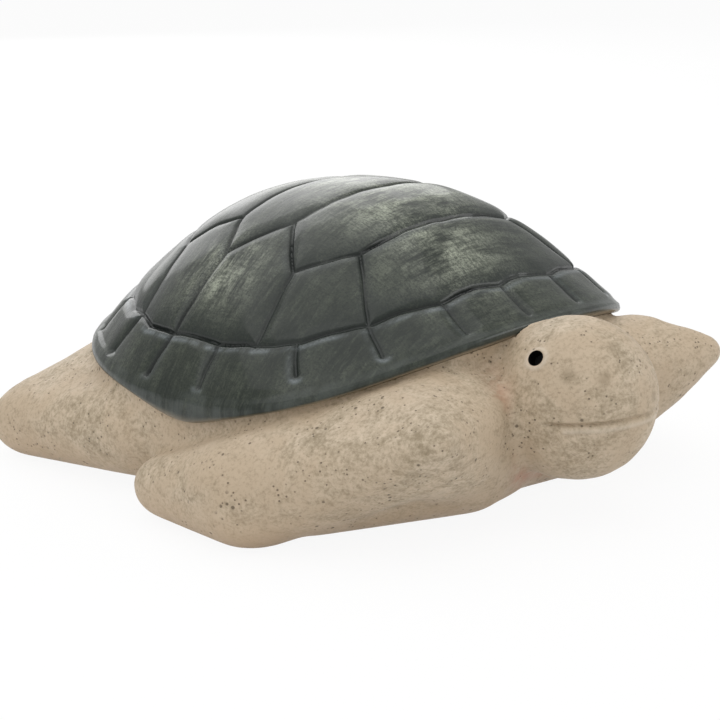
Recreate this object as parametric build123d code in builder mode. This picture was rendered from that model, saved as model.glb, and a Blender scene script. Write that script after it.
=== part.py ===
from build123d import *
import math
import os

# A glazed earthenware sea turtle whose green shell lifts off as the cover of a shallow tub.
# Millimetres. The head points towards -Y, +Z is up, and the origin is on the resting face,
# under the widest line of the shell.

# Shell in plan: a round rear, straight sides, round corners and a flatter front that stands
# FRONT_CROWN ahead of the corners
SHELL_HALF_WIDTH = 106.0
SHELL_FRONT = 99.0
SHELL_REAR = 110.0
CORNER_RADIUS = 60.0
FRONT_CROWN = 11.0
SIDE_RUN = SHELL_FRONT - CORNER_RADIUS - FRONT_CROWN

# Height of the parting line between tub and cover, and of the top of the shell
RIM_SIDE = 45.5
RIM_FRONT = 72.0
RIM_REAR = 49.5
SHELL_TOP = 119.5
DOME_POWER = 2.4
APEX_FORWARD = 6.0
DOME_GRID = 23
DOME_MARGIN = 1.15
RIM_STEPS = 12

# Cover
COVER_WALL = 6.0
LIP = 3.5
COVER_GAP = 0.4
FLANGE_DEPTH = 8.0
FLANGE_WALL = 4.5
FLANGE_CLEARANCE = 1.0

# Tub
TUB_WALL = 8.0
TUB_FLOOR = 8.0
BELLY_ROUND = 26.0

# Head and neck, measured from the front of the shell
HEAD_REACH = 20.0
HEAD_HEIGHT = 48.5
HEAD_RADIUS = 33.0
NECK_HEIGHT = 42.0
NECK_RADIUS = 30.0
THROAT_RADIUS = 27.0
EYE_RADIUS = 3.0
EYE_TURN = 84.0
EYE_RISE = 38.0
MOUTH_TILT = 14.0
MOUTH_CORNER = 10.0
MOUTH_GROOVE = 1.3

# Hollow castings that are luted to the tub, and the room they leave for the cover
CASTING_WALL = 6.0
VENT_RADIUS = 2.5
VENT_OFFSET = -12.0
LIFT_CLEARANCE = 0.6

# Felt
FELT = 1.5
BELLY_PAD_RADIUS = 18.0
FRONT_PAD_RADIUS = 7.5
REAR_PAD_RADIUS = 7.0

# Rounding of a flipper's ends, as shares of its half width, and the least half thickness of a
# hollow's ring, as a share of the wall
END_ROUNDING = (0.4, 0.7, 0.9)
THINNEST_HOLLOW = 1.2

# Left flippers from root to tip: centre X, Y and Z, half width and half thickness, and the
# station that each one rests on
FRONT_FLIPPER = [
    (73.0, -103.0, 43.5, 27.0, 21.5),
    (90.0, -75.0, 33.0, 26.0, 22.0),
    (107.0, -46.0, 22.0, 24.0, 22.0),
    (110.0, -25.0, 17.0, 21.0, 17.5),
    (108.5, -6.0, 14.0, 16.5, 13.0),
]
FRONT_REST = 2
REAR_FLIPPER = [
    (44.0, 68.0, 24.0, 35.0, 31.0),
    (57.0, 79.0, 21.5, 33.5, 29.5),
    (73.0, 90.5, 18.0, 28.0, 22.5),
    (84.0, 98.0, 15.5, 23.0, 17.0),
    (92.0, 104.0, 13.5, 19.0, 13.5),
]
REAR_REST = 3


def rim_height(y):
    """Height of the parting line at a place along the body."""
    forward = -y / (SHELL_FRONT if y < 0 else SHELL_REAR)
    rise = (RIM_FRONT + RIM_REAR) / 2 - RIM_SIDE
    swing = (RIM_FRONT - RIM_REAR) / 2
    return RIM_SIDE + rise * forward**2 + swing * forward**3


def front_arc():
    """Radius of the front arc, and the turn below the X axis at which it meets a corner."""
    across = SHELL_HALF_WIDTH - CORNER_RADIUS
    ahead = SHELL_FRONT - SIDE_RUN
    radius = (across**2 + ahead**2 - CORNER_RADIUS**2) / (2 * (ahead - CORNER_RADIUS))
    return radius, math.degrees(math.atan2(radius - ahead, across))


def shell_plan(inset=0.0):
    """The shell in plan, drawn in by inset."""
    radius, turn = front_arc()
    side = SHELL_HALF_WIDTH - inset
    middle = SHELL_REAR - SHELL_HALF_WIDTH
    corner = (SHELL_HALF_WIDTH - CORNER_RADIUS, -SIDE_RUN)
    with BuildSketch() as plan:
        with BuildLine():
            CenterArc((0, middle), side, 0, 90)
            Line((side, middle), (side, -SIDE_RUN))
            CenterArc(corner, CORNER_RADIUS - inset, 0, -turn)
            CenterArc((0, radius - SHELL_FRONT), radius - inset, -90, 90 - turn)
            mirror(about=Plane.YZ)
        make_face()
    return plan.sketch


def edge_distance(x, y, inset):
    """Distance from the origin to the outline, measured the way of x and y."""
    radius, turn = front_arc()
    middle = SHELL_REAR - SHELL_HALF_WIDTH
    turn_to = math.atan2(abs(x), -y)
    across, along = math.sin(turn_to), -math.cos(turn_to)

    def to_circle(centre_x, centre_y, size):
        nearest = across * centre_x + along * centre_y
        return nearest + math.sqrt(nearest**2 - centre_x**2 - centre_y**2 + size**2)

    rear = to_circle(0.0, middle, SHELL_HALF_WIDTH - inset)
    front = to_circle(0.0, radius - SHELL_FRONT, radius - inset)
    if rear * along >= middle:
        return rear
    if (SHELL_HALF_WIDTH - inset) * along >= -SIDE_RUN * across:
        return (SHELL_HALF_WIDTH - inset) / across
    if front * across <= (radius - inset) * math.cos(math.radians(turn)):
        return front
    return to_circle(SHELL_HALF_WIDTH - CORNER_RADIUS, -SIDE_RUN, CORNER_RADIUS - inset)


def dome_height(x, y, wall):
    """Height of the shell's outside, or of its inside where wall isn't 0."""
    lean = APEX_FORWARD * max(0.0, 1 - math.hypot(x, y) / edge_distance(x, y, wall))
    reach = math.hypot(x, y + lean) / edge_distance(x, y + lean, wall)
    edge = rim_height(y) + LIP
    return edge + (SHELL_TOP - wall - edge) * (1 - reach**DOME_POWER)


def dome(wall=0.0):
    """Solid under the shell's outside, or under its inside where wall isn't 0."""
    half = DOME_MARGIN * max(SHELL_HALF_WIDTH, SHELL_FRONT, SHELL_REAR)
    steps = [half * (2 * k / (DOME_GRID - 1) - 1) for k in range(DOME_GRID)]
    grid = [[Vector(x, y, dome_height(x, y, wall)) for y in steps] for x in steps]
    surface = Face.make_surface_from_array_of_points(grid, tol=0.05)
    with BuildPart() as form:
        with BuildSketch():
            add(shell_plan(wall))
        extrude(amount=2 * SHELL_TOP)
        split(bisect_by=surface, keep=Keep.BOTTOM)
    return form.part


def above_rim(lift=0.0):
    """Everything above the parting line, which is the same across the whole width."""
    far = 2 * max(SHELL_FRONT, SHELL_REAR)
    length = SHELL_REAR + SHELL_FRONT
    steps = [SHELL_REAR - length * k / RIM_STEPS for k in range(RIM_STEPS + 1)]
    curve = [(y, rim_height(y) + lift) for y in steps]
    rear, front = curve[0], curve[-1]
    with BuildPart() as space:
        with BuildSketch(Plane.YZ):
            with BuildLine():
                Spline(*curve)
                Polyline(front, (-far, front[1]), (-far, 2 * SHELL_TOP))
                Polyline((-far, 2 * SHELL_TOP), (far, 2 * SHELL_TOP), (far, rear[1]), rear)
            make_face()
        extrude(amount=2 * SHELL_HALF_WIDTH, both=True)
    return space.part


def bowl(wall=0.0, floor=FELT):
    """Solid inside the tub's side, drawn in by wall and standing on floor."""
    with BuildPart() as form:
        with BuildSketch(Plane.XY.offset(floor)):
            add(shell_plan(wall))
        extrude(amount=SHELL_TOP)
        fillet(form.edges().group_by(Axis.Z)[0], radius=BELLY_ROUND - wall)
    return form.part


def column(inset, lift=0.0):
    """Upright column above the parting line, with the shell outline drawn in by inset."""
    with BuildPart() as space:
        with BuildSketch():
            add(shell_plan(inset))
        extrude(amount=2 * SHELL_TOP)
        add(above_rim(lift), mode=Mode.INTERSECT)
    return space.part


def between(before, start, end, after, share):
    """Point on the smooth curve from start to end, given the stations on both sides."""
    return tuple(
        0.5 * (2 * q + (r - p) * share + (2 * p - 5 * q + 4 * r - t) * share**2
               + (3 * q - p - 3 * r + t) * share**3)
        for p, q, r, t in zip(before, start, end, after)
    )


def rounded_end(ring, outwards):
    """Ever smaller rings that round off a flipper beyond its last station."""
    x, y, z, across, thick = ring
    rings = []
    for share in END_ROUNDING:
        place = Vector(x, y, z) + outwards.normalized() * (across * share)
        size = math.sqrt(1 - share**2)
        rings.append((place.X, place.Y, place.Z, across * size, thick * size))
    return rings


def paddle(stations, inset=0.0):
    """Flipper drawn through its stations, each an ellipse square to the way it runs."""
    last = len(stations) - 1
    rings = []
    for place in range(last):
        around = [stations[max(0, min(last, place + step))] for step in (-1, 0, 1, 2)]
        rings += [between(*around, share) for share in (0.0, 0.5)]
    rings.append(stations[last])
    backwards = Vector(*rings[0][:3]) - Vector(*rings[1][:3])
    forwards = Vector(*rings[-1][:3]) - Vector(*rings[-2][:3])
    rings = rounded_end(rings[0], backwards)[::-1] + rings + rounded_end(rings[-1], forwards)
    rings = [ring for ring in rings if ring[4] > THINNEST_HOLLOW * inset]
    centres = [Vector(*ring[:3]) for ring in rings]
    with BuildPart() as form:
        for place, ring in enumerate(rings):
            way = centres[min(place + 1, len(rings) - 1)] - centres[max(place - 1, 0)]
            with BuildSketch(Plane(centres[place], x_dir=Vector(0, 0, 1).cross(way), z_dir=way)):
                Ellipse(ring[3] - inset, ring[4] - inset)
        loft(ruled=True)
    return form.part


def ground(height):
    """Everything below a height."""
    reach = 4 * SHELL_HALF_WIDTH
    with BuildPart() as space:
        with BuildSketch(Plane.XY.offset(height)):
            Rectangle(reach, reach)
        extrude(amount=-reach)
    return space.part


def shell_cover():
    """Domed shell with an even wall and a square lip that sits on the tub's rim."""
    with BuildPart() as cover:
        add(dome())
        add(dome(COVER_WALL), mode=Mode.SUBTRACT)
        add(above_rim(COVER_GAP), mode=Mode.INTERSECT)
    return cover


def cover_flange():
    """Ring under the cover that drops inside the tub's rim and keeps the cover in place."""
    outside = TUB_WALL + FLANGE_CLEARANCE
    with BuildPart() as flange:
        add(column(outside, -FLANGE_DEPTH))
        add(column(outside + FLANGE_WALL, -2 * FLANGE_DEPTH), mode=Mode.SUBTRACT)
        add(dome(COVER_WALL), mode=Mode.INTERSECT)
    return flange


def tub():
    """Belly and sides in one casting, open at the top, with its rim on the parting line."""
    with BuildPart() as basin:
        add(bowl())
        add(bowl(TUB_WALL, FELT + TUB_FLOOR), mode=Mode.SUBTRACT)
        add(above_rim(), mode=Mode.SUBTRACT)
    return basin


def ball_and_neck(inset):
    """Round head with its neck run back into the tub's front wall."""
    centre = (0, -SHELL_FRONT - HEAD_REACH, HEAD_HEIGHT)
    with BuildPart() as form:
        with Locations(centre):
            Sphere(HEAD_RADIUS - inset, rotation=(0, 0, 90))
        with BuildSketch(Plane.XZ.offset(SHELL_FRONT + HEAD_REACH)):
            with Locations((0, HEAD_HEIGHT)):
                Circle(THROAT_RADIUS - inset)
        with BuildSketch(Plane.XZ.offset(SHELL_FRONT - 2 * TUB_WALL)):
            with Locations((0, NECK_HEIGHT)):
                Circle(NECK_RADIUS - inset)
        loft()
    return form.part


def mouth():
    """Rod bent round the front of the head, from one corner of the mouth to the other."""
    centre = (0, -SHELL_FRONT - HEAD_REACH, HEAD_HEIGHT)
    with BuildPart() as rod:
        with Locations(Plane(centre).rotated((MOUTH_TILT, 0, 0))):
            Torus(HEAD_RADIUS, MOUTH_GROOVE)
            with Locations((0, -MOUTH_CORNER - HEAD_RADIUS, 0)):
                Box(3 * HEAD_RADIUS, 2 * HEAD_RADIUS, HEAD_RADIUS, mode=Mode.INTERSECT)
    return rod.part


def head():
    """Hollow casting with pierced eyes that vent it, and a mouth line drawn in the clay."""
    centre = Vector(0, -SHELL_FRONT - HEAD_REACH, HEAD_HEIGHT)
    with BuildPart() as casting:
        add(ball_and_neck(0.0))
        add(ball_and_neck(CASTING_WALL), mode=Mode.SUBTRACT)
        add(mouth(), mode=Mode.SUBTRACT)
        for turn in (-EYE_TURN, EYE_TURN):
            side, rise = math.radians(turn), math.radians(EYE_RISE)
            out = (math.sin(side) * math.cos(rise), -math.cos(side) * math.cos(rise), math.sin(rise))
            with BuildSketch(Plane(centre, z_dir=out)):
                Circle(EYE_RADIUS)
            extrude(amount=2 * HEAD_RADIUS, mode=Mode.SUBTRACT)
        add(bowl(), mode=Mode.SUBTRACT)
        add(column(-LIFT_CLEARANCE), mode=Mode.SUBTRACT)
    return casting


def flipper(stations, rest, side):
    """Hollow casting, open where it is luted to the tub, with a vent in its sole."""
    spare = LIFT_CLEARANCE + CASTING_WALL
    x, y = stations[rest][:2]
    with BuildPart() as hollow:
        add(paddle(stations, CASTING_WALL))
        add(column(-spare, -CASTING_WALL), mode=Mode.SUBTRACT)
        add(ground(FELT + CASTING_WALL), mode=Mode.SUBTRACT)
    with BuildPart() as casting:
        add(paddle(stations))
        add(hollow.part, mode=Mode.SUBTRACT)
        with BuildSketch():
            with Locations((x, y + VENT_OFFSET)):
                Circle(VENT_RADIUS)
        extrude(amount=FELT + 2 * CASTING_WALL, mode=Mode.SUBTRACT)
        add(bowl(), mode=Mode.SUBTRACT)
        add(ball_and_neck(0.0), mode=Mode.SUBTRACT)
        add(column(-LIFT_CLEARANCE), mode=Mode.SUBTRACT)
        add(ground(FELT), mode=Mode.SUBTRACT)
        if side == "right":
            mirror(about=Plane.YZ, mode=Mode.REPLACE)
    return casting


def felt_pad(x, y, radius):
    """Self-adhesive felt disc between a flat of the turtle and whatever it stands on."""
    with BuildPart() as pad:
        with BuildSketch():
            with Locations((x, y)):
                Circle(radius)
        extrude(amount=FELT)
    return pad


os.makedirs("parts", exist_ok=True)
pieces = {
    "shell_cover": shell_cover(),
    "cover_flange": cover_flange(),
    "tub": tub(),
    "head": head(),
    "belly_pad": felt_pad(0, 0, BELLY_PAD_RADIUS),
}
for side, sign in (("left", 1), ("right", -1)):
    for end, stations, rest, radius in (
        ("front", FRONT_FLIPPER, FRONT_REST, FRONT_PAD_RADIUS),
        ("rear", REAR_FLIPPER, REAR_REST, REAR_PAD_RADIUS),
    ):
        x, y = stations[rest][:2]
        pieces[f"{end}_{side}_flipper"] = flipper(stations, rest, side)
        pieces[f"{end}_{side}_pad"] = felt_pad(sign * x, y, radius)
for name, piece in pieces.items():
    piece.part.label = name
    export_step(piece.part, f"parts/{name}.step")
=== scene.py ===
import math

import bpy
import numpy as np
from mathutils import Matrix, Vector, noise


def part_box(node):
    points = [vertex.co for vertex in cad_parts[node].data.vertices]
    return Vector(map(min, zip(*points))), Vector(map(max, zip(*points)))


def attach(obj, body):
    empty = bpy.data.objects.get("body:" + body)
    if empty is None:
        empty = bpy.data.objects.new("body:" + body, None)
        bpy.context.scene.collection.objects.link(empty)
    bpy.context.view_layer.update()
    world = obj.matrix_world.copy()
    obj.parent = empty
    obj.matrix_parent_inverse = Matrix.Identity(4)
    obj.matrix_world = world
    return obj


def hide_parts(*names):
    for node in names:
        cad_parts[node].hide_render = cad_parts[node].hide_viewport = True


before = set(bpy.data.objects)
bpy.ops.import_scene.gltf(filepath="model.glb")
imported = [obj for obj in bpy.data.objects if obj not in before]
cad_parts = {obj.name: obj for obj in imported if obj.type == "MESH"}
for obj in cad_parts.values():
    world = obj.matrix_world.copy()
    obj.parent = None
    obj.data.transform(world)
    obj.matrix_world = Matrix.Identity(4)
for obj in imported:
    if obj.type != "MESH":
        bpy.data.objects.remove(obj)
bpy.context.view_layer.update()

# ---- Body: one soft form of clay ----------------------------------------------------------
# Slip-cast earthenware, with sizes in millimetres. The head and flippers are luted to the tub
# while the clay is leather hard, and the joins are smoothed over with a wet finger, so the
# outside is one form, modelled whole and parted further on where the castings meet.
MM = 0.001
HALF_WIDTH, FRONT, REAR, CORNER, CROWN = 106.0, 99.0, 110.0, 60.0, 11.0
SIDE_RUN = FRONT - CORNER - CROWN
REAR_CENTRE = REAR - HALF_WIDTH
RIM_SIDE, RIM_FRONT, RIM_REAR = 45.5, 72.0, 49.5
LIP_OUT, CORNER_OUT, CORNER_TURN, CORNER_SPREAD = 0.6, 3.0, 45.0, 35.0
SOLE, BELLY_ROUND, BELLY_SHY, BELLY_TOP = 0.5, 26.0, 0.8, 88.0
ROUGH_SKIN, SKIN = 1.9, 1.6


def rim_height(y):
    """Height of the parting line between tub and cover."""
    forward = -y / np.where(y < 0, FRONT, REAR)
    rise = (RIM_FRONT + RIM_REAR) / 2 - RIM_SIDE
    return RIM_SIDE + rise * forward**2 + (RIM_FRONT - RIM_REAR) / 2 * forward**3


def outline(turn, grow):
    """Distance from the middle to the shell's edge, at a turn from straight ahead."""
    across, along = np.maximum(np.sin(turn), 1e-9), -np.cos(turn)
    ahead, beside = FRONT - SIDE_RUN, HALF_WIDTH - CORNER
    radius = (beside**2 + ahead**2 - CORNER**2) / (2 * (ahead - CORNER))
    meet = math.cos(math.atan2(radius - ahead, beside))

    def to_circle(x, y, size):
        nearest = across * x + along * y
        return nearest + np.sqrt(np.maximum(nearest**2 - x**2 - y**2 + size**2, 0))

    side = HALF_WIDTH + grow
    rear = to_circle(0, REAR_CENTRE, side)
    front = to_circle(0, radius - FRONT, radius + grow)
    corner = to_circle(beside, -SIDE_RUN, CORNER + grow)
    ahead_of_side = np.where(front * across <= (radius + grow) * meet, front, corner)
    beside_it = np.where(side * along >= -SIDE_RUN * across, side / across, ahead_of_side)
    return np.where(rear * along >= REAR_CENTRE, rear, beside_it)


def fading(gap, width):
    """1 at a line or place, and fading away over a width."""
    return np.exp(-((gap / width) ** 2))


def flare(turn):
    """How far the shell's lip stands out beyond the tub, most of all at its front corners."""
    return LIP_OUT + CORNER_OUT * fading(np.degrees(turn) - CORNER_TURN, CORNER_SPREAD)


def only(piece):
    """Selects one piece and makes it the active one."""
    bpy.ops.object.select_all(action="DESELECT")
    piece.select_set(True)
    bpy.context.view_layer.objects.active = piece


def edit(piece, how="SELECT"):
    """Opens a piece for editing with all or none of it selected."""
    only(piece)
    bpy.ops.object.mode_set(mode="EDIT")
    bpy.ops.mesh.select_mode(type="FACE")
    bpy.ops.mesh.select_all(action=how)


def close():
    bpy.ops.object.mode_set(mode="OBJECT")


def read(items, what):
    """A place or direction of each of a mesh's items, as rows of three."""
    flat = np.empty(len(items) * 3)
    items.foreach_get(what, flat)
    return flat.reshape(-1, 3)


def points(piece):
    """A piece's points in millimetres."""
    return read(piece.data.vertices, "co") / MM


def place(piece, where):
    """Moves a piece's points to places in millimetres."""
    piece.data.vertices.foreach_set("co", (where * MM).ravel())
    piece.data.update()


def chosen_points(piece):
    """Which of a piece's points are selected."""
    chosen = np.empty(len(piece.data.vertices), dtype=bool)
    piece.data.vertices.foreach_get("select", chosen)
    return chosen


def push_out(piece, amounts):
    """Moves a piece's points along their normals, by so many millimetres each."""
    place(piece, points(piece) + read(piece.data.vertices, "normal") * amounts[:, None])


def apply(piece, kind, **settings):
    """Gives a piece a modifier and applies it."""
    only(piece)
    made = piece.modifiers.new(kind.lower(), kind)
    for key, value in settings.items():
        setattr(made, key, value)
    bpy.ops.object.modifier_apply(modifier=made.name)


def copy(piece, name):
    """A copy of a piece with its own mesh."""
    made = piece.copy()
    made.data = piece.data.copy()
    made.name = name
    bpy.context.collection.objects.link(made)
    return made


def scrap(*pieces):
    for piece in pieces:
        bpy.data.objects.remove(piece)


def join(pieces, name):
    bpy.ops.object.select_all(action="DESELECT")
    for piece in pieces:
        piece.select_set(True)
    bpy.context.view_layer.objects.active = pieces[0]
    bpy.ops.object.join()
    pieces[0].name = name
    return pieces[0]


def lump(x, y, z, across, deep, thick):
    """An oval lump of clay."""
    bpy.ops.object.select_all(action="DESELECT")
    bpy.ops.mesh.primitive_uv_sphere_add(segments=48, ring_count=24, radius=1)
    piece = bpy.context.active_object
    place(piece, points(piece) * MM * (across, deep, thick) + (x, y, z))
    return piece


def stretch(*ovals):
    """One tight form over several lumps."""
    piece = join([lump(*oval) for oval in ovals], "clay")
    edit(piece)
    bpy.ops.mesh.convex_hull()
    close()
    return piece


def bowl(grow, floor, top, rounding, name):
    """The tub's outline drawn up from a floor, with a rounded bottom edge."""
    bpy.ops.object.select_all(action="DESELECT")
    bpy.ops.mesh.primitive_circle_add(vertices=240, radius=MM, fill_type="NGON")
    piece = bpy.context.active_object
    piece.name = name
    edit(piece)
    rings = [(0.0, floor)]
    if rounding:
        rises = [math.radians(12.0 * k) for k in range(8)]
        rings = [(rounding * (1 - math.sin(rise)), floor + rounding * (1 - math.cos(rise)))
                 for rise in rises]
        rings.append((0.0, floor + rounding))
    for step, (inset, height) in enumerate(rings + [(0.0, top)]):
        if step:
            only(piece)
            bpy.ops.object.mode_set(mode="EDIT")
            bpy.ops.mesh.extrude_region_move(TRANSFORM_OT_translate={"value": (0, 0, MM)})
        close()
        chosen = chosen_points(piece)
        where = points(piece)
        turn = np.arctan2(np.abs(where[chosen, 0]), -where[chosen, 1])
        reach = grow(turn) if callable(grow) else grow - inset
        size = outline(turn, reach) / np.hypot(where[chosen, 0], where[chosen, 1])
        where[chosen, :2] *= size[:, None]
        where[chosen, 2] = height
        place(piece, where)
    edit(piece)
    bpy.ops.mesh.normals_make_consistent(inside=False)
    close()
    return piece


HEAD = np.array((0.0, -119.0, 48.5))
forms = [
    stretch((*HEAD, 33.4, 33.0, 32.6), (0, -112, 47.5, 30.5, 24, 29)),
    stretch((0, -112, 46.5, 27.5, 20, 27.5), (0, -90, 42.5, 33, 22, 31)),
    stretch((0, -84, 40.0, 36, 27, 31), (0, -60, 30.0, 60, 30, 26)),
]
for side in (-1, 1):
    shoulder = (side * 70.0, -98.0, 43.5, 25.0, 25.0, 21.0)
    leading = (side * 87.0, -120.0, 50.0, 8.5, 8.5, 7.5)
    elbow = (side * 107.3, -46.2, 20.2, 24.4, 24.4, 22.6)
    tip = (side * 108.6, -5.6, 13.6, 17.0, 17.0, 13.2)
    hip = (side * 52.9, 76.9, 21.6, 35.2, 35.2, 29.2)
    toe = (side * 88.8, 102.0, 15.2, 19.1, 19.1, 15.9)
    breast = (side * 34.5, -90.0, 30.0, 26.0, 24.5, 26.6)
    flank = (side * 86.0, 34.0, 25.0, 23.0, 32.0, 21.0)
    forms += [stretch(shoulder, leading, elbow), stretch(elbow, tip), stretch(hip, toe, flank)]
    forms += [stretch(shoulder, leading, breast, (0, -78, 34.0, 30, 28, 30))]
    forms += [stretch(breast, (side * 90.0, -60.0, 22.0, 24, 24, 20), (0, -82, 30.0, 28, 24, 28))]
forms.append(bowl(-BELLY_SHY, SOLE, BELLY_TOP, BELLY_ROUND, "belly"))
clay = join(forms, "clay")
apply(clay, "REMESH", mode="VOXEL", voxel_size=ROUGH_SKIN * MM)
edit(clay)
bpy.ops.mesh.bisect(plane_co=(0, 0, SOLE * MM), plane_no=(0, 0, 1), use_fill=True, clear_inner=True)
close()
apply(clay, "REMESH", mode="VOXEL", voxel_size=SKIN * MM)
apply(clay, "SMOOTH", factor=0.5, iterations=12)

# the surface left by fingers and a sponge
FINGER, FINGER_DEEP, SPONGE, SPONGE_DEEP = 17.0, 0.55, 6.5, 0.22
skin = points(clay)
swell = np.array([
    FINGER_DEEP * noise.noise(Vector(p / FINGER))
    + SPONGE_DEEP * noise.noise(Vector(p / SPONGE) + Vector((9, 4, 2)))
    for p in skin
])
push_out(clay, swell * np.clip((skin[:, 2] - 4.0) / 8.0, 0, 1))

# ---- Face: two eyes and a mouth -----------------------------------------------------------
# The eyes are holes pierced with a round punch, which also vent the hollow head in the kiln.
# The mouth is one line drawn with a blunt needle, pressed more lightly past the middle, and
# the clay that it raised makes the lip below.
EYES = [np.array((side * 25.5, -118.7, 69.6)) for side in (-1, 1)]
EYE_HOLE, EYE_RIM, EYE_RIM_HIGH = 3.2, 4.2, 0.35
MOUTH_BALL, MOUTH_REACH, MOUTH_DEEP, MOUTH_WIDE = 33.0, 77, 1.5, 0.75
UNDER_REACH, UNDER_DROP, UNDER_PROUD, UNDER_WIDE = 60, 2.6, 0.65, 1.1


def eye_way(eye):
    """The way that an eye looks."""
    way = np.array((math.copysign(0.86, eye[0]), -0.34, 0.38))
    return way / np.linalg.norm(way)


def on_head(turn, rise):
    """A place on the head's ball, at a turn to the left of straight ahead and a rise, in degrees."""
    turn, rise = math.radians(turn), math.radians(rise)
    level = math.cos(rise)
    return HEAD + MOUTH_BALL * np.array((math.sin(turn) * level, -math.cos(turn) * level, math.sin(rise)))


def mouth_line(turn, drop):
    """A place on the mouth's line, or below it by a drop."""
    return on_head(turn, -2.0 - 2.4 * (turn / MOUTH_REACH) ** 2) - (0, 0, drop)


def to_line(where, line):
    """Distance from each place to a line of points, and the nearest place on it."""
    best, nearest = np.full(len(where), 1e9), np.zeros_like(where)
    for start, end in zip(line[:-1], line[1:]):
        run = end - start
        share = np.clip((where - start) @ run / (run @ run), 0, 1)
        foot = start + share[:, None] * run
        gap = np.linalg.norm(where - foot, axis=1)
        closer = gap < best
        best[closer], nearest[closer] = gap[closer], foot[closer]
    return best, nearest


def refine(piece, near, rounds=1):
    """Divides the faces whose middles are near something."""
    for _ in range(rounds):
        chosen = near(read(piece.data.polygons, "center") / MM)
        edit(piece, "DESELECT")
        close()
        piece.data.polygons.foreach_set("select", chosen)
        only(piece)
        bpy.ops.object.mode_set(mode="EDIT")
        bpy.ops.mesh.select_mode(type="FACE")
        bpy.ops.mesh.subdivide(number_cuts=1)
        close()


mouth = np.array([mouth_line(turn, 0) for turn in range(-MOUTH_REACH, MOUTH_REACH + 1, 4)])
under_lip = np.array([mouth_line(turn, UNDER_DROP) for turn in range(-UNDER_REACH, UNDER_REACH + 1, 4)])


def near_face(where):
    close_by = to_line(where, mouth)[0] < 6.5
    for eye in EYES:
        close_by |= np.linalg.norm(where - eye, axis=1) < 6.0
    return close_by


def needle(where, run_out):
    """How hard the needle was pressed, running out over so many degrees at the mouth's ends."""
    turn = np.degrees(np.arctan2(np.abs(where[:, 0]), -(where[:, 1] - HEAD[1])))
    lighter = np.clip(0.65 - where[:, 0] / 20, 0.3, 1)
    return np.clip((MOUTH_REACH - turn) / run_out, 0, 1) * lighter


refine(clay, near_face, 2)
skin = points(clay)
pressed = needle(skin, 8.0)
push = -MOUTH_DEEP * pressed * fading(to_line(skin, mouth)[0], MOUTH_WIDE)
push += UNDER_PROUD * pressed * fading(to_line(skin, under_lip)[0], UNDER_WIDE)
for eye in EYES:
    push += EYE_RIM_HIGH * fading(np.linalg.norm(skin - eye, axis=1) - EYE_RIM, 0.9)
push_out(clay, push)
for eye in EYES:
    way = Vector(eye_way(eye))
    bpy.ops.object.select_all(action="DESELECT")
    bpy.ops.mesh.primitive_cylinder_add(
        vertices=48, radius=EYE_HOLE * MM, depth=20 * MM, location=Vector(eye * MM) - way * 2 * MM,
        rotation=way.to_track_quat("Z", "Y").to_euler())
    punch = bpy.context.active_object
    bpy.ops.object.transform_apply(location=True, rotation=True, scale=True)
    apply(clay, "BOOLEAN", operation="DIFFERENCE", object=punch, solver="MANIFOLD")
    scrap(punch)

# ---- Castings: belly tub, head and four flippers ------------------------------------------
# The tub is cast with a rim for the cover to sit on and a rounded basin inside. The clay is
# parted from it all round, and the rest is parted into the head and the flippers, which are
# washed with a cream slip and then rubbed with olive oxide that stays in the hollows.
ROOM, TUB_WALL, TUB_FLOOR, FELT, PAD_PLAY = 0.8, 8.0, 8.0, 1.5, 0.3
JOIN_OUT, NECK_SIDE, WAIST = 1.2, 40.0, 30.0
bpy.ops.object.select_all(action="DESELECT")
bpy.ops.mesh.primitive_grid_add(x_subdivisions=2, y_subdivisions=80, size=320 * MM)
above = bpy.context.active_object
sheet = points(above)
sheet[:, 2] = rim_height(np.clip(sheet[:, 1], -FRONT - 4, REAR + 4))
place(above, sheet)
edit(above)
bpy.ops.mesh.extrude_region_move(TRANSFORM_OT_translate={"value": (0, 0, 160 * MM)})
bpy.ops.mesh.select_all(action="SELECT")
bpy.ops.mesh.normals_make_consistent(inside=False)
close()
room = bowl(lambda turn: flare(turn) + ROOM, 10.0, 190.0, 0, "room")
apply(room, "BOOLEAN", operation="INTERSECT", object=above, solver="MANIFOLD")
apply(clay, "BOOLEAN", operation="DIFFERENCE", object=room, solver="MANIFOLD")
basin = bowl(-TUB_WALL, FELT + TUB_FLOOR, 180.0, BELLY_ROUND - TUB_WALL, "basin")
PADS = ("belly_pad", "front_left_pad", "front_right_pad", "rear_left_pad", "rear_right_pad")
for name in PADS:
    low, high = (Vector(corner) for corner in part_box(name))
    radius = (high.x - low.x) / 2 / MM
    bpy.ops.object.select_all(action="DESELECT")
    bpy.ops.mesh.primitive_cylinder_add(
        vertices=64, radius=(radius + PAD_PLAY) * MM, depth=2 * FELT * MM,
        location=((low + high) / 2).xy.to_3d())
    recess = bpy.context.active_object
    bpy.ops.object.transform_apply(location=True, rotation=True, scale=True)
    apply(clay, "BOOLEAN", operation="DIFFERENCE", object=recess, solver="MANIFOLD")
    scrap(recess)

around_tub = bowl(JOIN_OUT, SOLE - 1.0, 130.0, BELLY_ROUND, "around_tub")
tub = copy(clay, "belly_tub")
apply(tub, "BOOLEAN", operation="INTERSECT", object=around_tub, solver="MANIFOLD")
apply(tub, "BOOLEAN", operation="DIFFERENCE", object=basin, solver="MANIFOLD")
apply(clay, "BOOLEAN", operation="DIFFERENCE", object=around_tub, solver="MANIFOLD")


def part_off(name, *cuts):
    """A casting parted from the clay by planes, each a place and the way that is cut off."""
    piece = copy(clay, name)
    for where, way in cuts:
        edit(piece)
        bpy.ops.mesh.bisect(plane_co=Vector(where) * MM, plane_no=way, use_fill=True, clear_outer=True)
        close()
    return piece


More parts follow.
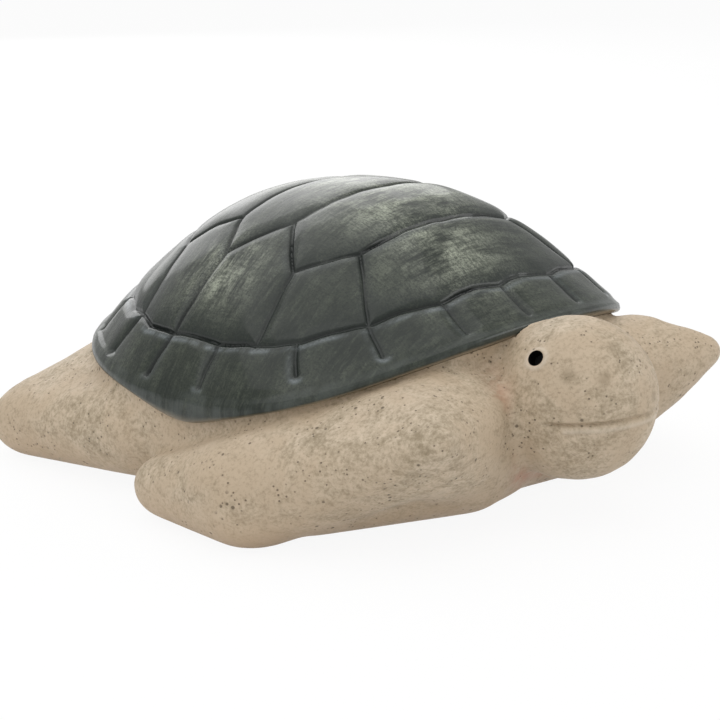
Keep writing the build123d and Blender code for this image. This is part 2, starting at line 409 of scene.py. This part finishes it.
castings = {"tub": tub}
castings["head"] = part_off(
    "turtle_head", ((NECK_SIDE, 0, 0), (1, 0, 0)), ((-NECK_SIDE, 0, 0), (-1, 0, 0)),
    ((0, 0, 0), (0, 1, 0)))
for side, hand in ((-1, "right"), (1, "left")):
    castings[f"front_{hand}_flipper"] = part_off(
        f"{hand}_fore_flipper", ((side * NECK_SIDE, 0, 0), (-side, 0, 0)), ((0, WAIST, 0), (0, 1, 0)))
    castings[f"rear_{hand}_flipper"] = part_off(
        f"{hand}_hind_flipper", ((0, 0, 0), (-side, 0, 0)), ((0, WAIST, 0), (0, -1, 0)))
scrap(clay, room, above, basin, around_tub)


class Value:
    """A number or colour that changes over a surface, on which sums can be written."""

    def __init__(self, finish, socket):
        self.finish, self.socket = finish, socket

    def sum(self, operation, first, second):
        return self.finish.node("ShaderNodeMath", {"operation": operation}, {0: first, 1: second})

    def __add__(self, other):
        return self.sum("ADD", self, other)

    def __sub__(self, other):
        return self.sum("SUBTRACT", self, other)

    def __rsub__(self, other):
        return self.sum("SUBTRACT", other, self)

    def __mul__(self, other):
        return self.sum("MULTIPLY", self, other)

    __radd__, __rmul__ = __add__, __mul__


class Finish:
    """A material: its shader's plain settings, and what changes over the surface."""

    def __init__(self, name, **plain):
        self.material = bpy.data.materials.new(name)
        self.material.use_nodes = True
        self.tree = self.material.node_tree
        self.shader = self.tree.nodes["Principled BSDF"]
        self.feed(self.shader, {key.replace("_", " "): value for key, value in plain.items()})

    def feed(self, node, values):
        for key, value in values.items():
            if isinstance(value, Value):
                self.tree.links.new(value.socket, node.inputs[key])
            else:
                node.inputs[key].default_value = value

    def node(self, kind, settings, values, output=0):
        """Makes a node with its settings and what its sockets take, and gives an output."""
        made = self.tree.nodes.new(kind)
        for key, value in settings.items():
            setattr(made, key, value)
        self.feed(made, values)
        return Value(self, made.outputs[output])

    def coordinates(self):
        return self.node("ShaderNodeTexCoord", {}, {}, "Object")

    def stretched(self, where, scale, shift=(0, 0, 0)):
        return self.node("ShaderNodeMapping", {}, {"Vector": where, "Scale": scale, "Location": shift})

    def cloud(self, where, size, detail=3.0, rough=0.55, warp=0.0):
        """Soft noise from 0 to 1, with blotches about size millimetres across."""
        return self.node("ShaderNodeTexNoise", {}, {
            "Vector": where, "Scale": 1 / (size * MM), "Detail": detail, "Roughness": rough,
            "Distortion": warp}, "Fac")

    def between(self, value, low, high):
        """0 below low and 1 above high, with a soft step."""
        return self.node("ShaderNodeMapRange", {"interpolation_type": "SMOOTHSTEP"}, {
            "Value": value, "From Min": low, "From Max": high})

    def mix(self, share, first, second):
        """The first colour with a share of the second."""
        return self.node("ShaderNodeMix", {"data_type": "RGBA"}, {
            0: share, 6: (*first, 1) if isinstance(first, tuple) else first,
            7: (*second, 1) if isinstance(second, tuple) else second}, 2)

    def mark(self, name):
        """A value painted on the piece."""
        return self.node("ShaderNodeAttribute", {"attribute_name": name}, {}, "Fac")

    def bump(self, height, depth, strength):
        values = {"Height": height, "Distance": depth * MM, "Strength": strength}
        return self.node("ShaderNodeBump", {}, values)


def paint(piece, name, values):
    """Paints a value on each of a piece's points, for its material to read."""
    made = piece.data.attributes.new(name, "FLOAT", "POINT")
    made.data.foreach_set("value", np.ascontiguousarray(values, dtype=np.float32))


CREAM, PALE_CREAM, FINE_DIRT = (0.465, 0.365, 0.255), (0.57, 0.47, 0.35), (0.21, 0.16, 0.095)
# the last colour on the next line is darker and pinker: partly terracotta showing through in the neck
# crease, and partly painted shade there
OLIVE, WARM_CLAY, BLUSH_AND_SHADE = (0.20, 0.152, 0.082), (0.50, 0.355, 0.225), (0.46, 0.25, 0.165)
# the middle colour on the next line is a painted highlight for the lower lip and the eye rims
STAIN, LIP_AND_EYE_HIGHLIGHT, PIT = (0.17, 0.125, 0.065), (0.57, 0.49, 0.39), (0.085, 0.062, 0.032)
PITS = [  # apart, edge and rim of a pit, width of a cluster, and how rare clusters are
    (2.4, 0.09, 0.24, 12, 0.50), (4.6, 0.10, 0.20, 20, 0.54)]
slip = Finish("cream_slip", Roughness=0.5, IOR=1.5)
here = slip.coordinates()
broad = slip.cloud(here, 34, 4, 0.6, 0.6)
mottle = slip.cloud(slip.stretched(here, (1, 1, 1.6), (0.3, 0.1, 0.2)), 9, 5, 0.65, 0.8)
streaks = slip.cloud(slip.stretched(here, (0.35, 1, 1), (0.2, 0.6, 0.1)), 2.6, 5, 0.72, 0.5)
fine = slip.cloud(here, 1.3, 3, 0.65)
grain = slip.cloud(here, 0.5, 2, 0.6)
low = slip.mark("low")
wash = mottle * 0.6 + fine * 0.4 + (broad - 0.5) * 0.9 + (streaks - 0.5) * 0.7
wash = slip.between(wash, 0.34, 0.86) * (0.8 - low * 0.55)
tone = slip.mix(slip.between(broad, 0.35, 0.68), CREAM, PALE_CREAM)
tone = slip.mix(wash, tone, OLIVE)
tone = slip.mix(slip.between(fine, 0.45, 0.72) * 0.28, tone, FINE_DIRT)
tone = slip.mix(low * 0.55, tone, WARM_CLAY)
# in the neck crease: partly terracotta showing through, and partly painted shade
tone = slip.mix(slip.mark("crease") * slip.between(mottle, 0.3, 0.6) * 0.8, tone, BLUSH_AND_SHADE)
tone = slip.mix(slip.mark("stain") * 0.8, tone, STAIN)
# a painted highlight on the lower lip's ridge and on the rims round the eyes
tone = slip.mix(slip.mark("painted_highlight") * 0.6, tone, LIP_AND_EYE_HIGHLIGHT)
pits = 0.0
for apart, edge, rim, cluster, rare in PITS:
    cells = slip.node("ShaderNodeTexVoronoi", {"feature": "F1"}, {
        "Vector": here, "Scale": 1 / (apart * MM), "Randomness": 1.0}, "Distance")
    picked = slip.cloud(slip.stretched(here, (1, 1, 1), (0.7, apart / 10, 0.5)), cluster, 2)
    pits = pits + (1 - slip.between(cells, edge, rim)) * slip.between(picked, rare, rare + 0.07)
tone = slip.mix(pits * 0.8, tone, PIT)
slip.feed(slip.shader, {
    "Base Color": tone,
    "Roughness": 0.5 + mottle * 0.22,
    "Normal": slip.bump(fine * 0.5 + grain * 0.3 + mottle * 0.9 - pits * 1.6, 0.35, 0.55),
})
# Near-black painted shade inside the pierced eyes, for the walls and ends of the holes.
eye_hole_shade = Finish("eye_hole_shade", Base_Color=(0.006, 0.006, 0.006, 1), Roughness=0.6)
eye_hole_shade.feed(eye_hole_shade.shader, {"Base Color": eye_hole_shade.mix(
    eye_hole_shade.cloud(eye_hole_shade.coordinates(), 2), (0.004, 0.004, 0.004), (0.012, 0.011, 0.01))})

STAINS = [  # turn to the right and rise on the head, and size
    ((59, 30), 2.8), ((31.6, 26.4), 2.6), ((29, 30), 2.0), ((-40, 34), 3.0), ((12, 50), 2.4),
    ((-16, 8), 2.0)]
NECK_CREASE, EYE_RING = 38.0, 4.4


def in_eye(face):
    """Whether a face is a wall or the end of a pierced eye."""
    for eye in EYES:
        way = eye_way(eye)
        gone = np.array(face.center) / MM - eye
        deep = gone @ way
        wall = -13 < deep < 8 and abs(np.array(face.normal) @ way) < 0.5
        if np.linalg.norm(gone - deep * way) < EYE_HOLE + 0.05 and (wall or -13 < deep < -6):
            return True
    return False


for node, piece in castings.items():
    only(piece)
    bpy.ops.object.shade_smooth_by_angle(angle=math.radians(42))
    piece.data.materials.clear()
    piece.data.materials.append(slip.material)
    where = points(piece)
    # crease: darker pink in the neck crease, partly terracotta showing through and partly painted shade
    throat = np.clip((where[:, 1] + 116) / 6, 0, 1) * np.clip((66 - where[:, 2]) / 14, 0, 1)
    paint(piece, "crease", throat * fading(np.linalg.norm(where - HEAD, axis=1) - NECK_CREASE, 5.0))
    # a painted highlight along the lower lip and round each eye
    painted_highlight = 0.8 * fading(to_line(where, under_lip)[0], 1.0)
    for eye in EYES:
        painted_highlight = np.maximum(painted_highlight, fading(np.linalg.norm(where - eye, axis=1) - EYE_RING, 0.9))
    paint(piece, "painted_highlight", painted_highlight)
    paint(piece, "low", np.clip((20 - where[:, 2]) / 18, 0, 1))
    stains = fading(to_line(where, mouth)[0], 0.8) * needle(where, 15.0)
    for (turn, rise), size in STAINS:
        spot = np.linalg.norm(where - on_head(-turn, rise), axis=1)
        stains = np.maximum(stains, 0.6 * fading(spot, size))
    paint(piece, "stain", stains)
    if node == "head":
        # the walls and ends of the eye holes take the near-black painted shade
        piece.data.materials.append(eye_hole_shade.material)
        for face in piece.data.polygons:
            face.material_index = int(in_eye(face))
    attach(piece, "base")
    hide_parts(node)

# ---- Cover: the domed shell ---------------------------------------------------------------
# A separate earthenware casting. Its plates are parted by grooves scored in the leather-hard
# clay, and it is brushed with a dark green glaze that pools in the grooves. A pale painted
# highlight lies on the plates' upper shoulders, and a dark band under their lower edges is
# partly pooled glaze and partly painted shade. The inside is washed with the body's slip.
SHELL_TOP, DOME_POWER, APEX_FORWARD, COVER_WALL, LIP_HIGH = 119.5, 2.4, 6.0, 6.0, 3.5
GROOVE_DEEP, GROOVE_WIDE, PLATE_ROUND, PLATE_HIGH, PLATE_BASE = 1.3, 0.8, 3.4, 1.1, 0.5
REAR_TRIM, WAVE, WAVE_HIGH, STRAY_RUN, STRAY, PRESS_RUN = 1.6, 15.0, 0.35, 9.0, 0.5, 26.0
STRAY_SEED = 1
GROOVES = [  # plan of one side, from the middle outwards
    [(0, -48), (-24, -48), (-41, -47.5), (-46, -47)],
    [(-46, -47), (-58, -39), (-67, -30)],
    [(-67, -30), (-61, -23), (-49, -13), (-45, -10)],
    [(-45, -10), (-31, -14), (-8, -15), (0, -15)],
    [(-46, -10), (-57, 2), (-64, 10)],
    [(-64, 10), (-50, 18), (-44, 19.5)],
    [(-44, 19.5), (-20, 19), (0, 18)],
    [(-44, 19.5), (-46, 32), (-52, 46)],
    [(-52, 46), (-38, 56), (-30, 59)],
    [(-30, 59), (-12, 58), (0, 58)],
    [(-30, 59), (-32, 74), (-36, 88)],
    [(-46, -47), (-56, -58), (-63, -66), (-66, -69)],
    [(-67, -30), (-78, -32), (-92, -34)],
    [(-64, 10), (-76, 11), (-92, 12)],
    [(-52, 46), (-68, 43), (-83, 41)],
    [(0, -81), (-15, -79), (-34, -79), (-50, -74), (-66, -69)],
    [(-66, -69), (-75, -62), (-85, -52), (-90, -42), (-92, -33)],
    [(-92, -33), (-93, -14), (-92, 0), (-92, 13)],
    [(-92, 13), (-89, 30), (-83, 41), (-78, 52), (-65, 68)],
    [(-65, 68), (-52, 79), (-36, 88), (-18, 93), (0, 94)],
    [(0, -81), (0, -96)],
    [(-34, -79), (-35, -93)],
    [(-66, -69), (-70, -80)],
    [(-86, -50), (-94, -57)],
    [(-93, -14), (-104, -14)],
    [(-92, 13), (-103, 17)],
    [(-83, 41), (-94, 50)],
    [(-65, 68), (-74, 78)],
    [(-36, 88), (-41, 100)],
    [(0, 94), (0, 108)],
]


def dome_edge(turn, wall):
    """Distance from the middle to the dome's edge, outside or inside its wall."""
    return outline(turn, -wall if wall else flare(turn))


def dome_height(x, y, wall=0.0):
    """Height of the dome over a place in plan, outside or inside its wall."""
    turn = np.arctan2(np.abs(x), -y)
    lean = APEX_FORWARD * np.maximum(0, 1 - np.hypot(x, y) / dome_edge(turn, wall))
    reach = np.hypot(x, y + lean) / dome_edge(np.arctan2(np.abs(x), -(y + lean)), wall)
    edge = rim_height(y) + LIP_HIGH
    return edge + (SHELL_TOP - wall - edge) * (1 - np.minimum(reach, 1.1) ** DOME_POWER)


def over_dome(ball, wall=0.0):
    """Places on the dome for the points of a half ball, evenly spread."""
    shares = np.linspace(0, 1, 200)
    run = np.cumsum(np.sqrt(1 + (1.6 * shares**1.4) ** 2))
    run = (run - run[0]) / (run[-1] - run[0])
    flat = np.hypot(ball[:, 0], ball[:, 1])
    reach = np.interp(np.arctan2(flat, ball[:, 2]) / (math.pi / 2), run, shares)
    turn = np.arctan2(np.abs(ball[:, 0]), -ball[:, 1])
    size = reach * dome_edge(turn, wall) / np.maximum(flat, 1e-9)
    x, y = ball[:, 0] * size, ball[:, 1] * size
    return np.stack([x, y, dome_height(x, y, wall)], axis=1)


def half_ball(fineness, name):
    """The upper half of a ball of even triangles."""
    bpy.ops.object.select_all(action="DESELECT")
    bpy.ops.mesh.primitive_ico_sphere_add(subdivisions=fineness, radius=1)
    piece = bpy.context.active_object
    piece.name = name
    edit(piece)
    bpy.ops.mesh.bisect(plane_co=(0, 0, 0), plane_no=(0, 0, 1), clear_inner=True)
    close()
    return piece


lines = []
for plan in GROOVES:
    for side in (-1, 1):
        corners = [(-side * x, y) for x, y in plan]
        row = []
        for (x0, y0), (x1, y1) in zip(corners[:-1], corners[1:]):
            steps = max(1, int(math.hypot(x1 - x0, y1 - y0) / 5))
            row += [(x0 + (x1 - x0) * k / steps, y0 + (y1 - y0) * k / steps) for k in range(steps)]
        row = np.array(row + [corners[-1]])
        lines.append(np.column_stack([row, dome_height(row[:, 0], row[:, 1])]))


def to_grooves(where):
    """Distance from each place to the nearest groove."""
    return np.min([to_line(where, line)[0] for line in lines], axis=0)


def stray(where):
    """How far a hand-held tool strays, in each direction, and the same way at every run."""
    noise.seed_set(STRAY_SEED)
    return STRAY * np.array([noise.noise_vector(Vector(p / STRAY_RUN)) for p in where])


def uneven(where, size):
    """Slow noise, of about so many millimetres."""
    return np.array([noise.noise(Vector(p / size)) for p in where])


shell = half_ball(7, "domed_shell")
for width in (5.0, 2.0):
    refine(shell, lambda ball: to_grooves(over_dome(ball * MM)) < width)
ball = points(shell) * MM
dome = over_dome(ball)
gap = to_grooves(dome + stray(dome))
step = 0.3
slope = np.stack([
    (dome_height(dome[:, 0] + step, dome[:, 1]) - dome[:, 2]) / step,
    (dome_height(dome[:, 0], dome[:, 1] + step) - dome[:, 2]) / step,
], axis=1)
outwards = np.column_stack([-slope, np.ones(len(dome))])
outwards /= np.linalg.norm(outwards, axis=1)[:, None]
over_rim = dome[:, 2] - rim_height(dome[:, 1]) - LIP_HIGH
on_plates = np.clip((over_rim - 2.0) / 4.0, 0, 1)
on_plates = on_plates * on_plates * (3 - 2 * on_plates)
pressed = np.clip(0.75 + 0.9 * uneven(dome, PRESS_RUN), 0.35, 1.15)
lift = PLATE_HIGH * (1 - np.exp(-((gap / PLATE_ROUND) ** 1.5))) - PLATE_BASE
lift -= GROOVE_DEEP * pressed * fading(gap, GROOVE_WIDE)
lift -= REAR_TRIM * np.clip(dome[:, 1] / 60, 0, 1) * np.clip((110 - dome[:, 2]) / 20, 0, 1)
lift += WAVE_HIGH * uneven(dome, WAVE)
place(shell, dome + outwards * (on_plates * lift)[:, None])

# what the glaze reads: a painted highlight on the plates' upper shoulders, and a dark band
# under their lower edges that is partly pooled glaze and partly painted shade
POOL_AND_SHADE_REACH, SHOULDER_AT, SHOULDER_WIDE, VALLEY_WIDE = 10.0, 2.6, 1.1, 3.6
pool_and_shade, shoulder = np.zeros(len(dome)), np.zeros(len(dome))
for line in lines:
    aside, foot = to_line(dome, line)
    drop = (foot - dome)[:, 2] / np.maximum(aside, 0.3)
    # pool marks a dark band under the lower edge of each plate above a groove, where it faces down: partly
    # pooled glaze and partly painted shade
    pool_and_shade = np.maximum(pool_and_shade, fading(aside, POOL_AND_SHADE_REACH) * np.clip(-drop * 1.8, 0, 1))
    # shoulder marks a painted highlight on the upper shoulder of each plate below a groove, where it faces
    # up, strongest on the marginal plates near the rim
    shoulder = np.maximum(shoulder, fading(aside - SHOULDER_AT, SHOULDER_WIDE) * np.clip(drop * 1.6, 0, 1))
shoulder *= 0.25 + 0.75 * np.clip((24 - over_rim) / 6, 0, 1)
groove = pressed * fading(gap, 0.9 + 0.45 * pressed) * np.clip(on_plates * 1.5, 0, 1)
SAGE = [  # where the glaze is rubbed thin, and how far
    ((-70, 4), 17), ((-12, -30), 26), ((-10, -62), 24), ((12, -30), 26), ((70, 4), 17), ((0, 0), 22),
    ((0, 38), 20)]
sage = np.zeros(len(dome))
for (x, y), size in SAGE:
    middle = np.array((x, y, dome_height(np.array(x), np.array(y))))
    sage = np.maximum(sage, fading(np.linalg.norm(dome - middle, axis=1), size))
MARKS = {
    "groove": groove, "pool_and_shade": pool_and_shade * on_plates, "valley": fading(gap, VALLEY_WIDE) * on_plates,
    "shoulder": shoulder * on_plates, "lip": 1 - on_plates, "sage": sage, "inside": np.zeros(len(dome))}
for name, values in MARKS.items():
    paint(shell, name, values)

# the lip, and the hollow inside
DIP, DIP_AT, DIP_WIDE = 5.5, -8.0, 24.0
CLEAR = LIP_HIGH - 0.12
LIP = [  # out from the dome's edge or from the tub's outline, down, and share of the dip
    ("lip", 0.3, 1.2, 0.1), ("lip", 0.45, 2.2, 0.5), ("lip", 0.2, 3.0, 0.92), ("lip", -0.25, CLEAR, 1.0),
    ("tub", 0.05, CLEAR, 1.0), ("tub", 0.05, CLEAR - 0.02, 0.0), ("tub", -COVER_WALL, CLEAR, 0.0)]


def open_edges(piece):
    """Opens a piece for editing with its open edges selected."""
    edit(piece, "DESELECT")
    bpy.ops.mesh.select_mode(type="EDGE")
    bpy.ops.mesh.select_non_manifold(extend=False, use_wire=False, use_boundary=True,
                                     use_multi_face=False, use_non_contiguous=False, use_verts=False)


def dip(turn, y):
    """How far the lip hangs down over the tub, in the middle of each side."""
    turn = np.degrees(turn)
    beside = np.clip((turn - 50) / 20, 0, 1) * np.clip((140 - turn) / 20, 0, 1)
    return DIP * fading(y - DIP_AT, DIP_WIDE) * beside


open_edges(shell)
close()
for start, out, down, share in LIP:
    only(shell)
    bpy.ops.object.mode_set(mode="EDIT")
    bpy.ops.mesh.extrude_edges_move(TRANSFORM_OT_translate={"value": (0, 0, 0)})
    close()
    chosen = chosen_points(shell)
    where = points(shell)
    turn = np.arctan2(np.abs(where[chosen, 0]), -where[chosen, 1])
    size = outline(turn, out + (flare(turn) if start == "lip" else 0.0))
    where[chosen, :2] *= (size / np.hypot(where[chosen, 0], where[chosen, 1]))[:, None]
    y = where[chosen, 1]
    where[chosen, 2] = rim_height(y) + LIP_HIGH - down - share * dip(turn, y)
    place(shell, where)
    marks = shell.data.attributes["lip"].data
    values = np.empty(len(marks), dtype=np.float32)
    marks.foreach_get("value", values)
    values[chosen] = 1 + down
    marks.foreach_set("value", values)
hollow = half_ball(6, "hollow")
place(hollow, over_dome(points(hollow) * MM, COVER_WALL))
edit(hollow)
bpy.ops.mesh.flip_normals()
close()
for name in MARKS:
    paint(hollow, name, np.full(len(hollow.data.vertices), name == "inside"))
shell = join([shell, hollow], "domed_shell")
open_edges(shell)
bpy.ops.mesh.bridge_edge_loops()
close()
only(shell)
bpy.ops.object.shade_smooth_by_angle(angle=math.radians(60))

DARK, DARK_GREEN, BRUSHED, STROKE = (
    (0.009, 0.014, 0.009), (0.026, 0.033, 0.022), (0.052, 0.062, 0.043), (0.10, 0.115, 0.082))
# the last colour here is a pale blue painted highlight for the plates' shoulders
PALE_SAGE, WEAVE, SPECK, SHOULDER_HIGHLIGHT = (
    (0.44, 0.47, 0.37), (0.010, 0.016, 0.010), (0.006, 0.010, 0.007), (0.19, 0.215, 0.225))
# the middle colour on the next line is partly pooled glaze and partly painted shade under the plates'
# lower edges
VALLEY, POOLED_AND_SHADED, SCORED = (0.010, 0.015, 0.012), (0.009, 0.014, 0.011), (0.004, 0.007, 0.006)
THIN_EDGE, BARE_EDGE, BARE_INSIDE = (0.05, 0.06, 0.055), (0.24, 0.20, 0.14), (0.5, 0.42, 0.32)
glaze = Finish(
    "green_glaze", Roughness=0.4, IOR=1.45, Specular_IOR_Level=0.25, Coat_Weight=0.5,
    Coat_Roughness=0.13, Coat_IOR=1.45)
here = glaze.coordinates()
lip_mark, inside = glaze.mark("lip"), glaze.mark("inside")
broad = glaze.cloud(here, 30, 3, 0.5)
strokes = glaze.cloud(glaze.stretched(here, (0.16, 1, 0.16)), 1.8, 4, 0.7, 0.15)
brushed = glaze.cloud(glaze.stretched(here, (0.3, 1, 0.3), (0.2, 0.4, 0.1)), 7, 4, 0.6, 0.3)
speck = glaze.cloud(here, 0.9, 4, 0.75)
weave = glaze.cloud(glaze.stretched(here, (1, 0.2, 0.5)), 1.5, 4, 0.7, 0.2)
thin = glaze.mark("sage") * glaze.between(strokes * 0.8 + brushed, 0.62, 1.2)
# a pale blue painted highlight on the plates' upper shoulders
shoulder_highlight = glaze.mark("shoulder") * glaze.between(brushed, 0.3, 0.6)
dark_valley = glaze.mark("valley") * glaze.between(speck, 0.3, 0.6)
# darker under the plates' lower edges: partly pooled glaze and partly painted shade
pooled_and_shaded = glaze.mark("pool_and_shade") * glaze.between(speck + strokes + (broad - 0.5), 0.6, 1.2)
edge = glaze.between(lip_mark + (broad - 0.5) * 1.5, 0.6, 1.4) * glaze.between(brushed, 0.35, 0.6)
bare = glaze.between(lip_mark + (broad - 0.5) * 1.2, 3.3, 4.6)
tone = glaze.mix(glaze.between(broad, 0.35, 0.65), DARK, DARK_GREEN)
COATS = [  # each over the ones before it: where it lies, and its colour
    (glaze.between(brushed, 0.42, 0.7) * 0.6, BRUSHED),
    (glaze.between(strokes, 0.45, 0.75) * 0.4, STROKE),
    (thin * 0.95, PALE_SAGE),
    (glaze.between(weave, 0.45, 0.62) * 0.5, WEAVE),
    (glaze.between(speck, 0.45, 0.66) * 0.7, SPECK),
    # painted highlight on the plates' shoulders
    (shoulder_highlight * 0.85, SHOULDER_HIGHLIGHT),
    (dark_valley * 0.75, VALLEY),
    # dark band under the plates' lower edges: partly painted shade
    (pooled_and_shaded * 0.85, POOLED_AND_SHADED),
    (glaze.mark("groove") * 0.95, SCORED),
    (edge * 0.6, THIN_EDGE),
    (bare, BARE_EDGE),
    (inside, BARE_INSIDE),
]
for share, colour in COATS:
    tone = glaze.mix(share, tone, colour)
glaze.feed(glaze.shader, {
    "Base Color": tone,
    "Roughness": 0.38 + speck * 0.3,
    "Coat Weight": 0.5 - inside * 0.46,
    "Normal": glaze.bump(strokes * 0.4 + speck * 0.3 + brushed * 1.2 + broad * 2.0, 0.5, 0.7),
})
shell.data.materials.clear()
shell.data.materials.append(glaze.material)
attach(shell, "cover")
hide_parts("shell_cover")

# ---- Locating flange ----------------------------------------------------------------------
# A ring of the same clay, luted inside the cover so that it drops inside the tub's rim. It is
# left in the body's slip.
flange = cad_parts["cover_flange"]
for slot in flange.material_slots:
    slot.material = slip.material

# ---- Felt pads ----------------------------------------------------------------------------
# Five die-cut discs of grey felt, glued into shallow recesses under the belly and the
# flippers. They stand a little proud, so that the clay doesn't scratch a table.
DARK_FELT, PALE_FELT = (0.20, 0.185, 0.165), (0.36, 0.335, 0.30)
felt = Finish("grey_felt", Roughness=0.95)
here = felt.coordinates()
fibres = felt.cloud(felt.stretched(here, (1, 0.4, 1)), 0.6, 4, 0.7)
felt.feed(felt.shader, {
    "Base Color": felt.mix(fibres, DARK_FELT, PALE_FELT),
    "Normal": felt.bump(fibres, 0.2, 0.8),
})
for name in PADS:
    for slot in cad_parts[name].material_slots:
        slot.material = felt.material

# ---- Floor, light and camera --------------------------------------------------------------
# A white table in a light tent. Broad lamps stand above, behind, to the left and in front on
# the right, and the tent itself lights the rest.
WHITE, WHITE_SHARE, TENT_LIGHT, TENT_SEEN = (0.88, 0.88, 0.88, 1), 0.92, 0.56, 1.0
LAMPS = (  # place, width and power
    ("top_light", (-0.15, 0.1, 1.1), 2.0, 9.0),
    ("left_light", (-0.9, -0.3, 0.6), 1.6, 2.6),
    ("back_light", (0.65, 0.95, 0.6), 1.2, 5.8),
    ("right_light", (0.75, -0.8, 0.5), 0.7, 2.8),
)
bpy.ops.object.select_all(action="DESELECT")
bpy.ops.mesh.primitive_plane_add(size=6)
floor = bpy.context.active_object
floor.name = "white_table"
table = Finish("white_table", Roughness=0.9)
table.feed(table.shader, {"Base Color": WHITE})
rays = table.tree.nodes.new("ShaderNodeLightPath")
seen = Value(table, rays.outputs["Is Camera Ray"])
for kind in ("Is Glossy Ray", "Is Transmission Ray"):
    seen = seen + Value(table, rays.outputs[kind])
glow = table.tree.nodes.new("ShaderNodeEmission")
glow.inputs["Strength"].default_value = 1.0
blend = table.tree.nodes.new("ShaderNodeMixShader")
table.feed(blend, {0: seen * WHITE_SHARE})
table.tree.links.new(table.shader.outputs[0], blend.inputs[1])
table.tree.links.new(glow.outputs[0], blend.inputs[2])
table.tree.links.new(blend.outputs[0], table.tree.nodes["Material Output"].inputs[0])
floor.data.materials.append(table.material)

world = bpy.data.worlds.new("light_tent")
bpy.context.scene.world = world
world.use_nodes = True
tent = world.node_tree
paths = tent.nodes.new("ShaderNodeLightPath")
strength = tent.nodes.new("ShaderNodeMix")
strength.inputs[2].default_value = TENT_LIGHT
strength.inputs[3].default_value = TENT_SEEN
tent.links.new(paths.outputs["Is Camera Ray"], strength.inputs[0])
tent.nodes["Background"].inputs[0].default_value = (1, 1, 1, 1)
tent.links.new(strength.outputs[0], tent.nodes["Background"].inputs[1])

for name, spot, size, power in LAMPS:
    lamp = bpy.data.lights.new(name, "AREA")
    lamp.shape, lamp.size, lamp.energy = "DISK", size, power
    holder = bpy.data.objects.new(name, lamp)
    bpy.context.collection.objects.link(holder)
    holder.location = spot
    holder.rotation_euler = (Vector((0, 0, 0.05)) - Vector(spot)).to_track_quat("-Z", "Y").to_euler()

bpy.ops.object.camera_add(location=(-0.71023, -0.64630, 0.30408))
camera = bpy.context.active_object
target = Vector((0.010967, 0.004667, 0.038813))
camera.rotation_euler = (target - camera.location).to_track_quat("-Z", "Y").to_euler()
camera.data.sensor_width, camera.data.lens = 36.0, 116.57
camera.data.clip_start = 0.01
bpy.context.scene.camera = camera
bpy.context.scene.view_settings.view_transform = "Standard"
